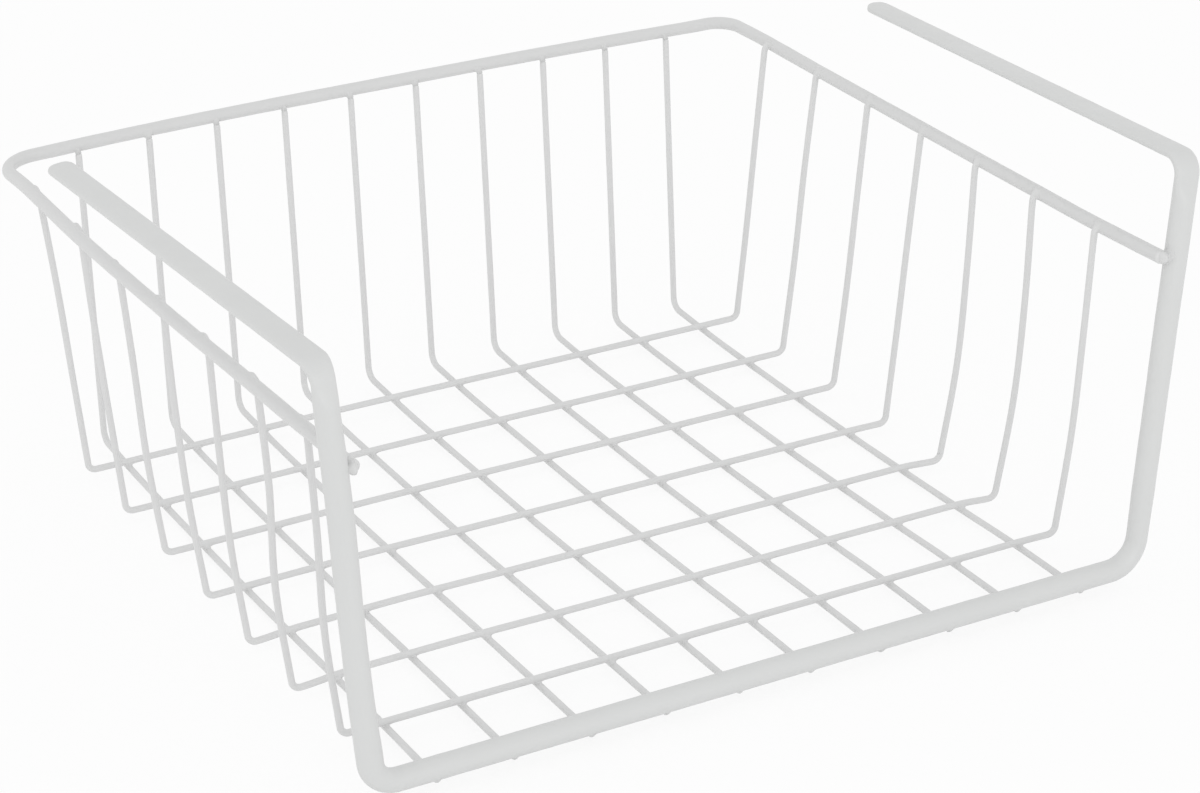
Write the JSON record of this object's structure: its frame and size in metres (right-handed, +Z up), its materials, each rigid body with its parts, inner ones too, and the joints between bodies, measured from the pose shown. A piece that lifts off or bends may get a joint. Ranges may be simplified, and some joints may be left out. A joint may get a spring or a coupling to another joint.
{
  "type": "under shelf basket",
  "caption": "Open-fronted coated steel wire basket that hangs under a shelf by two flat arms, with a bent wire mat for floor and walls, a rim wire and a tube hanger frame.",
  "frame": {"origin": "on the resting plane, which touches the undersides of the lengthwise floor wires, at the middle of the bounding box", "axes": "+X to the right as seen from the open front, +Y to the back, +Z up"},
  "size_m": [0.3114, 0.2702, 0.143],
  "materials": {
    "frame_coating": "smooth dipped white coating over steel, satin to light gloss, thick at the welds",
    "rim_coating": "smooth dipped white coating over steel, satin to light gloss, thick at the welds",
    "wire_coating": "smooth dipped white coating over steel, satin to light gloss, thick at the welds"
  },
  "bodies": {
    "root": {"hanger_frame": "frame_coating", "rim_wire": "rim_coating", "lengthwise_wire_01": "wire_coating", "lengthwise_wire_02": "wire_coating", "lengthwise_wire_03": "wire_coating", "lengthwise_wire_04": "wire_coating", "lengthwise_wire_05": "wire_coating", "lengthwise_wire_06": "wire_coating", "lengthwise_wire_07": "wire_coating", "lengthwise_wire_08": "wire_coating", "lengthwise_wire_09": "wire_coating", "lengthwise_wire_10": "wire_coating", "crosswise_wire_1": "wire_coating", "crosswise_wire_2": "wire_coating", "crosswise_wire_3": "wire_coating", "crosswise_wire_4": "wire_coating", "crosswise_wire_5": "wire_coating", "crosswise_wire_6": "wire_coating", "crosswise_wire_7": "wire_coating"}
  },
  "joints": []
}
